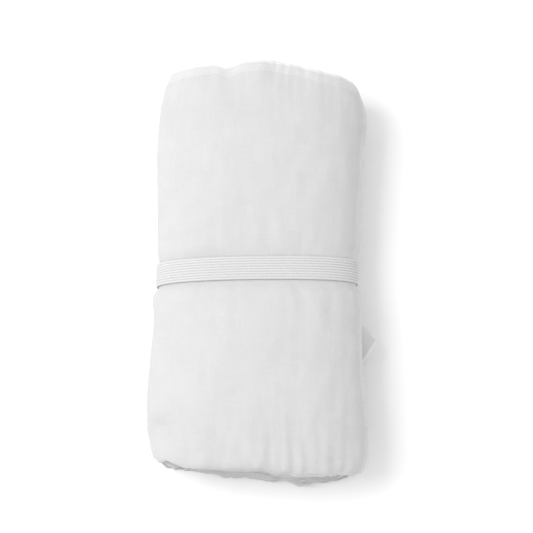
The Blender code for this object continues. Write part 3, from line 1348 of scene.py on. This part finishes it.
@dataclass(frozen=True)
class ThreadFinish:
    """White sewing thread, twisted, a little brighter and smoother than the cloth."""

    slot: str = "muslin"
    roughness: float = 0.7
    down: float = 0.1
    pale: tuple[float, float, float] = (0.72, 0.72, 0.72)
    deep: tuple[float, float, float] = (0.62, 0.62, 0.62)
    fibre_scale: float = 2600.0
    fibre_height: float = 0.1 * MM
    relief: float = 0.5

    def make(self) -> Any:
        """Makes the material.

        Returns:
            The material.
        """
        material, bench, shader = new_bench("sewing_thread", self.roughness, self.down)
        place = bench.tree.nodes.new("ShaderNodeTexCoord").outputs["Object"]
        fibres = bench.noise(place, self.fibre_scale)
        bench.feed(shader.inputs["Base Color"], bench.between(fibres, self.deep, self.pale))
        bench.bump(shader, fibres, self.relief, self.fibre_height)
        return material


@dataclass(frozen=True)
class ElasticFinish:
    """White knitted elastic, with small slanted loops along its ribs and painted shade in the grooves
    between them.
    """

    slot: str = "band_elastic"
    roughness: float = 0.75
    down: float = 0.12
    pale: tuple[float, float, float] = (0.73, 0.73, 0.73)
    deep: tuple[float, float, float] = (0.54, 0.54, 0.54)
    loop_pitch: float = 0.95 * MM
    rib_pitch: float = BAND_WIDTH / BAND_RIBS
    slant: float = 0.9
    fluff_scale: float = 700.0
    loop_tone: float = 0.20
    fluff_tone: float = 0.25
    # Painted shade in the grooves between the ribs.
    groove_shade_tone: float = 0.55
    loop_height: float = 0.10 * MM
    relief: float = 0.8

    def make(self) -> Any:
        """Makes the material.

        Returns:
            The material.
        """
        material, bench, shader = new_bench(self.slot, self.roughness, self.down)
        flat = bench.cloth_place()
        parts = bench.add("ShaderNodeSeparateXYZ", Vector=flat)
        from_edge = bench.maths("ADD", parts.outputs["Y"], BAND_WIDTH / 2)
        side = bench.maths("MULTIPLY", from_edge, math.tau / self.rib_pitch)
        slant = bench.maths("MULTIPLY", bench.maths("SINE", side), self.slant)
        loops = bench.maths("MULTIPLY_ADD", parts.outputs["X"], math.tau / self.loop_pitch, slant)
        loops = bench.maths("MULTIPLY_ADD", bench.maths("SINE", loops), 0.5, 0.5)
        fluff = bench.noise(flat, self.fluff_scale, 3.0)
        # Painted shade: the grooves between the ribs are darkened and the crests kept pale.
        unshaded_crest = bench.maths("ABSOLUTE", bench.maths("SINE", bench.maths("MULTIPLY", side, 0.5)))
        tone = bench.maths("MULTIPLY", fluff, self.fluff_tone)
        tone = bench.maths("MULTIPLY_ADD", loops, self.loop_tone, tone)
        tone = bench.maths("MULTIPLY_ADD", unshaded_crest, self.groove_shade_tone, tone)
        bench.feed(shader.inputs["Base Color"], bench.between(tone, self.deep, self.pale))
        height = bench.maths("MULTIPLY", fluff, self.loop_height)
        height = bench.maths("MULTIPLY_ADD", loops, self.loop_height, height)
        bench.bump(shader, height, self.relief)
        return material


def mesh_piece(name: str, places: Numbers, faces: list[tuple[int, ...]], material: Any,
               flat: Numbers | None = None) -> Any:
    """Makes one piece with smooth faces, riding on the object's body.

    Args:
        name: the piece's name.
        places: one point a row.
        faces: point numbers, face by face.
        material: its material.
        flat: each point's place on the open cloth, where the material needs it.

    Returns:
        The piece's object.
    """
    mesh = bpy.data.meshes.new(name)
    mesh.from_pydata(places.tolist(), [], faces)
    mesh.polygons.foreach_set("use_smooth", [True] * len(faces))
    if flat is not None:
        corners = np.empty(len(mesh.loops), int)
        mesh.loops.foreach_get("vertex_index", corners)
        layer = mesh.uv_layers.new(name=CLOTH_MAP)
        layer.data.foreach_set("uv", flat[corners].ravel())
    mesh.materials.append(material)
    mesh.update()
    piece = bpy.data.objects.new(name, mesh)
    bpy.context.scene.collection.objects.link(piece)
    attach(piece, BODY)
    return piece


@dataclass
class SwaddleCloth:
    """The whole square of muslin, folded, wound and hemmed."""

    strip: FoldedStrip
    outer_depth: float = 0.3
    hem_blend: tuple[float, float] = (9 * MM, 7 * MM)
    corner_doubling: float = 2.0
    edge_doubling: float = 0.5
    finish: MuslinFinish = MuslinFinish()

    def lay(self, rows: FoldRows, back: Numbers, turned: Numbers, picked: Numbers) -> Lay:
        """Gathers where a block of the cloth lies in the strip.

        Args:
            rows: the rows of the mesh.
            back: each column's distance back from the loose end.
            turned: each column's share of the way round its hem's fold.
            picked: which rows to take.

        Returns:
            The block's points, rows down and columns across.
        """
        names = [part.name for part in fields(Lay) if part.name != "back"]
        column = {name: getattr(rows, name)[picked][:, None] for name in names}
        first = column["first_layer"] > 0
        from_edge = np.where(first, column["y"] - self.strip.inner_hem_y, self.strip.head_y - column["y"])
        edge_layer = (column["depth"] < self.outer_depth) | first
        hemmed = np.where(edge_layer, ramp(*self.hem_blend, from_edge), 0.0)
        doubling = np.where(first, self.corner_doubling, self.edge_doubling)
        doubled = self.strip.hem_lift * (1 + hemmed * doubling)
        doubled = np.where(column["under"] > 0, 2 * self.strip.hem_lift, doubled)
        column["under"] = column["under"] * (1 - turned) + doubled * turned
        return Lay(back=back[None, :], **column)

    def build(self) -> Any:
        """Makes the sheet: a fine mesh on the outermost turn and a coarser one within.

        Returns:
            The piece's object.
        """
        rows, columns = FoldRows(self.strip), FoldColumns(self.strip)
        every = np.arange(len(rows.y))
        kept = every[rows.kept > 0]
        split = columns.fine_count
        outer = self.strip.place(self.lay(rows, columns.back[:split], columns.turned[:split], every))
        inner = self.strip.place(self.lay(rows, columns.back[split:], columns.turned[split:], kept))
        places = np.concatenate([outer.reshape(-1, 3), inner.reshape(-1, 3)])
        flat = np.concatenate([
            self.flat_places(rows.across, columns.along[:split]),
            self.flat_places(rows.across[kept], columns.along[split:]),
        ])
        outer_ids = np.arange(outer.shape[0] * outer.shape[1]).reshape(outer.shape[:2])
        inner_ids = outer_ids.size + np.arange(inner.shape[0] * inner.shape[1]).reshape(inner.shape[:2])
        faces = self.quads(outer_ids) + self.quads(inner_ids) + self.joint(outer_ids, inner_ids, kept)
        piece = mesh_piece("muslin_blanket", places, faces, self.finish.make(), flat)
        return piece

    def flat_places(self, across: Numbers, along: Numbers) -> Numbers:
        """Places on the open cloth, one point a row."""
        down, over = np.meshgrid(across, along, indexing="ij")
        return np.stack([over.ravel(), down.ravel()], axis=1)

    def quads(self, ids: Numbers) -> list[tuple[int, ...]]:
        """Four-sided faces over a grid of point numbers, facing outwards on the outer layer."""
        corners = (ids[:-1, :-1], ids[:-1, 1:], ids[1:, 1:], ids[1:, :-1])
        return [tuple(f) for f in np.stack([c.ravel() for c in corners], axis=1).tolist()]

    def joint(self, outer: Numbers, inner: Numbers, kept: Numbers) -> list[tuple[int, ...]]:
        """Joins the fine mesh's last column to the coarse mesh's first one.

        Args:
            outer, inner: the two meshes' point numbers.
            kept: the rows that the coarse mesh has.

        Returns:
            The triangles between them.
        """
        faces = []
        for i, (low, high) in enumerate(zip(kept, kept[1:])):
            near, far = int(inner[i, 0]), int(inner[i + 1, 0])
            fine = outer[low:high + 1, -1].tolist()
            middle = len(fine) // 2
            faces += [(a, near, b) for a, b in zip(fine[:middle], fine[1:middle + 1])]
            faces.append((fine[middle], near, far))
            faces += [(a, far, b) for a, b in zip(fine[middle:], fine[middle + 1:])]
        return faces


@dataclass
class HemStitching:
    """The row of straight stitches along the hems, on the side of the cloth that faces out."""

    strip: FoldedStrip
    pitch: float = 3.1 * MM
    length: float = 2.5 * MM
    radius: float = 0.19 * MM
    inset: float = 6.2 * MM
    sides: int = 6
    points_a_pitch: int = 4
    foot_gap: float = 3 * MM
    head_gap: float = 1 * MM
    beside: float = 0.4 * MM
    heart_height: float = 24 * MM
    shares: tuple[float, ...] = (0.0, 0.18, 0.5, 0.82, 1.0)
    end_thickness: float = 0.45
    bow: float = 1.3
    dip: float = 0.9
    finish: ThreadFinish = ThreadFinish()

    def face_lay(self, back: Numbers, y: Numbers) -> Lay:
        """Points on the outermost layer.

        Args:
            back: distances back from the loose end.
            y: places along the roll.

        Returns:
            The points.
        """
        zero = np.zeros_like(back)
        return Lay(back=back, y=y, depth=zero, foot_pair=zero, head_pair=zero, wrong_y=zero,
                   wrong_depth=zero + 1, under=zero, first_layer=zero)

    def lines(self) -> list[tuple[Numbers, Numbers]]:
        """The lines of stitches, round the head and along the loose end.

        Returns:
            Each line's distances back from the loose end, and its places along the roll.
        """
        step = self.pitch / self.points_a_pitch
        around = np.arange(self.inset, self.strip.winding.strip_length, step)
        along = np.arange(self.strip.foot_y + self.foot_gap, self.strip.head_y - self.head_gap, step)
        return [
            (around, np.full_like(around, self.strip.head_y - self.inset)),
            (np.full_like(along, self.inset), along),
        ]

    def build(self) -> Any:
        """Makes all the stitches as one piece.

        Returns:
            The piece's object.
        """
        places, faces = [], []
        for back, y in self.lines():
            line = self.strip.place(self.face_lay(back, y))
            beside = self.strip.place(self.face_lay(back + self.beside, y + self.beside)) - line
            steps = np.linalg.norm(np.diff(line, axis=0), axis=1)
            travel = np.concatenate([[0.0], np.cumsum(steps)])
            heading = np.gradient(line, axis=0)
            heading /= np.linalg.norm(heading, axis=1, keepdims=True)
            out = np.cross(heading, beside)
            out /= np.linalg.norm(out, axis=1, keepdims=True)
            middle = line * [0, 1, 0] + [0, 0, self.heart_height]
            out *= np.sign(((line - middle) * out).sum(1, keepdims=True))
            for start in np.arange(0.0, travel[-1] - self.length, self.pitch):
                self.stitch(places, faces, travel, line, heading, out, start)
        piece = mesh_piece("hem_stitching", np.array(places), faces, self.finish.make())
        return piece

    def stitch(self, places: list[Numbers], faces: list[tuple[int, ...]], travel: Numbers,
               line: Numbers, heading: Numbers, out: Numbers, start: float) -> None:
        """Adds one stitch, which dips into the cloth at both ends.

        Args:
            places, faces: the mesh so far.
            travel: distance along the line.
            line, heading, out: the line's places, its direction and the way out of the cloth.
            start: where the stitch begins.
        """
        first = len(places)
        for share in self.shares:
            at = start + share * self.length
            centre, ahead, away = (np.array([np.interp(at, travel, a[:, k]) for k in range(3)])
                                   for a in (line, heading, out))
            side = np.cross(ahead, away)
            arc = math.sin(math.pi * share)
            thick = self.radius * (self.end_thickness + (1 - self.end_thickness) * arc)
            rise = self.radius * (self.bow * arc - self.dip)
            for i in range(self.sides):
                turn = math.tau * i / self.sides
                outward = away * (rise + thick * math.sin(turn))
                places.append(centre + outward + side * thick * math.cos(turn))
        last = len(places) - self.sides
        for a in range(first, last, self.sides):
            b = a + self.sides
            for i in range(self.sides):
                j = (i + 1) % self.sides
                faces.append((a + i, b + i, b + j, a + j))
        faces.append(tuple(range(first, first + self.sides)))
        faces.append(tuple(reversed(range(last, last + self.sides))))


@dataclass
class RibbedBand:
    """The knitted elastic, one closed loop stretched over the waist of the roll."""

    form: BundleForm
    width: float = BAND_WIDTH
    ribs: int = BAND_RIBS
    gap: float = 0.3 * MM
    floor_clearance: float = 0.2 * MM
    body: float = 0.60 * MM
    rib_height: float = 0.60 * MM
    rib_roundness: float = 0.7
    edge_thinning: float = 0.35
    edge_closeness: int = 6
    edge_share: float = 0.3
    points_a_rib: int = 6
    inner_points: int = 8
    segments: int = 300
    path_samples: int = 4000
    finish: ElasticFinish = ElasticFinish()

    def path(self) -> tuple[Numbers, Numbers]:
        """Follows the loop round the waist.

        Returns:
            x and z of evenly spaced places, and the way out at each.
        """
        angle = np.linspace(0.0, math.tau, self.path_samples + 1)[:-1]
        x, z = self.form.outline(np.full_like(angle, self.form.waist_y), angle)
        ring = np.stack([x, z], axis=1)
        closed = np.concatenate([ring, ring[:1]])
        steps = np.linalg.norm(np.diff(closed, axis=0), axis=1)
        travel = np.concatenate([[0.0], np.cumsum(steps)])
        at = np.linspace(0.0, travel[-1], self.segments + 1)[:-1]
        even = np.stack([np.interp(at, travel, closed[:, k]) for k in range(2)], axis=1)
        heading = np.roll(even, -1, axis=0) - np.roll(even, 1, axis=0)
        heading /= np.linalg.norm(heading, axis=1, keepdims=True)
        self.loop_length = float(travel[-1])
        return even, np.stack([heading[:, 1], -heading[:, 0]], axis=1)

    def profile(self) -> list[tuple[float, float]]:
        """The band's section, with ribs outside and a flat inner face.

        Returns:
            Its corners, each as a place along y and a height outwards.
        """
        half = self.width / 2
        count = self.ribs * self.points_a_rib
        shape = []
        for i in range(count + 1):
            share = i / count
            arc = abs(math.sin(math.pi * self.ribs * share)) ** self.rib_roundness
            edge = 1 - self.edge_thinning * abs(2 * share - 1) ** self.edge_closeness
            shape.append((self.width * share - half, self.body * edge + self.rib_height * arc * edge))
        shape.append((half, self.body * self.edge_share))
        shape += [(self.width * (0.5 - i / self.inner_points), 0.0) for i in range(self.inner_points + 1)]
        shape.append((-half, self.body * self.edge_share))
        return shape

    def build(self) -> Any:
        """Makes the band.

        Returns:
            The piece's object.
        """
        ring, out = self.path()
        profile = np.array(self.profile())
        count, around = len(profile), len(ring)
        height = self.gap + profile[:, 1]
        places = np.empty((around, count, 3))
        places[..., 0] = ring[:, None, 0] + out[:, None, 0] * height
        places[..., 1] = self.form.leaning(places[..., 0], self.form.waist_y + profile[:, 0])
        places[..., 2] = np.maximum(ring[:, None, 1] + out[:, None, 1] * height, self.floor_clearance)
        faces = []
        for i in range(around):
            j = (i + 1) % around
            for a in range(count):
                b = (a + 1) % count
                faces.append((i * count + a, i * count + b, j * count + b, j * count + a))
        along = np.arange(around) * self.loop_length / around
        flat = np.stack([np.repeat(along, count), np.tile(profile[:, 0], around)], axis=1)
        piece = mesh_piece("ribbed_elastic_band", places.reshape(-1, 3), faces, self.finish.make(), flat)
        return piece


class LampKind(Enum):
    """The soft lamps of the studio."""

    KEY = "key_lamp"
    FILL = "fill_lamp"


@dataclass(frozen=True)
class Lamp:
    """One square lamp: where it hangs, its side and its power in watts."""

    kind: LampKind
    place: tuple[float, float, float]
    side: float
    power: float


@dataclass
class Studio:
    """A plain pale floor, soft lamps, and a camera above the roll's foot end."""

    floor_side: float = 6.0
    floor_tone: float = 0.985
    sky_tone: float = 1.0
    sky_strength: float = 0.82
    lamps: tuple[Lamp, ...] = (
        Lamp(LampKind.KEY, place=(-0.80, 0.14, 1.12), side=0.70, power=9.5),
        Lamp(LampKind.FILL, place=(-0.2, 0.1, 1.8), side=1.5, power=1.5),
    )
    aim: tuple[float, float, float] = (1.9 * MM, 0.0, 25 * MM)
    camera_distance: float = 0.690
    camera_elevation: float = math.radians(79)
    camera_roll: float = math.radians(1.2)
    view_angle: float = math.radians(26.51)

    def floor(self) -> None:
        """Lays the floor."""
        half = self.floor_side / 2
        corners = [(-half, -half, 0.0), (half, -half, 0.0), (half, half, 0.0), (-half, half, 0.0)]
        mesh = bpy.data.meshes.new("studio_floor")
        mesh.from_pydata(corners, [], [(0, 1, 2, 3)])
        material = bpy.data.materials.new("studio_floor")
        material.use_nodes = True
        shader = material.node_tree.nodes["Principled BSDF"]
        shader.inputs["Base Color"].default_value = (self.floor_tone,) * 3 + (1.0,)
        shader.inputs["Roughness"].default_value = 1.0
        shader.inputs["Specular IOR Level"].default_value = 0.0
        mesh.materials.append(material)
        floor = bpy.data.objects.new("studio_floor", mesh)
        bpy.context.scene.collection.objects.link(floor)

    def hang(self, lamp: Lamp) -> None:
        """Hangs a lamp so that it faces the roll.

        Args:
            lamp: the lamp.
        """
        light = bpy.data.lights.new(lamp.kind.value, "AREA")
        light.shape, light.size, light.energy = "SQUARE", lamp.side, lamp.power
        hung = bpy.data.objects.new(lamp.kind.value, light)
        hung.location = lamp.place
        towards = Vector(self.aim) - Vector(lamp.place)
        hung.rotation_euler = towards.to_track_quat("-Z", "Y").to_euler()
        bpy.context.scene.collection.objects.link(hung)

    def sky(self) -> None:
        """Lights the room evenly from all around."""
        world = bpy.data.worlds.new("studio_sky")
        world.use_nodes = True
        ground = world.node_tree.nodes["Background"]
        ground.inputs["Color"].default_value = (self.sky_tone,) * 3 + (1.0,)
        ground.inputs["Strength"].default_value = self.sky_strength
        bpy.context.scene.world = world

    def camera(self) -> None:
        """Stands the camera above the foot end, looking down at the roll."""
        data = bpy.data.cameras.new("studio_camera")
        data.angle = self.view_angle
        camera = bpy.data.objects.new("studio_camera", data)
        up = self.camera_elevation
        back = Vector((0.0, -math.cos(up), math.sin(up))) * self.camera_distance
        camera.location = Vector(self.aim) + back
        turned = Euler((math.pi / 2 - up, 0.0, 0.0)).to_quaternion()
        roll = Euler((0.0, 0.0, self.camera_roll)).to_quaternion()
        camera.rotation_mode = "QUATERNION"
        camera.rotation_quaternion = turned @ roll
        bpy.context.scene.collection.objects.link(camera)
        bpy.context.scene.camera = camera

    def build(self) -> None:
        """Sets the whole studio up."""
        self.floor()
        for lamp in self.lamps:
            self.hang(lamp)
        self.sky()
        self.camera()
        bpy.context.scene.view_settings.view_transform = "Standard"


def write_sizes() -> None:
    """Brings the view layer up to date.
    """
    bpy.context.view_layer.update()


def main() -> None:
    """Builds the blanket, its stitching, its band and the studio."""
    logging.basicConfig(level=logging.INFO, format="%(name)s: %(message)s")
    form = BundleForm()
    band = RibbedBand(form)
    strip = FoldedStrip(Winding(form), Relief(form.waist_y))
    log.info("the strip takes %.2f turns", strip.winding.turns)

    blanket = SwaddleCloth(strip).build()
    stitching = HemStitching(strip).build()
    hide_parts("swaddle_blanket")
    log.info("%s: %d faces", blanket.name, len(blanket.data.polygons))
    log.info("%s: %d faces", stitching.name, len(stitching.data.polygons))

    elastic = band.build()
    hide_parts("elastic_band")
    log.info("%s: %d faces", elastic.name, len(elastic.data.polygons))

    Studio().build()
    write_sizes()


if __name__ == "__main__":
    main()
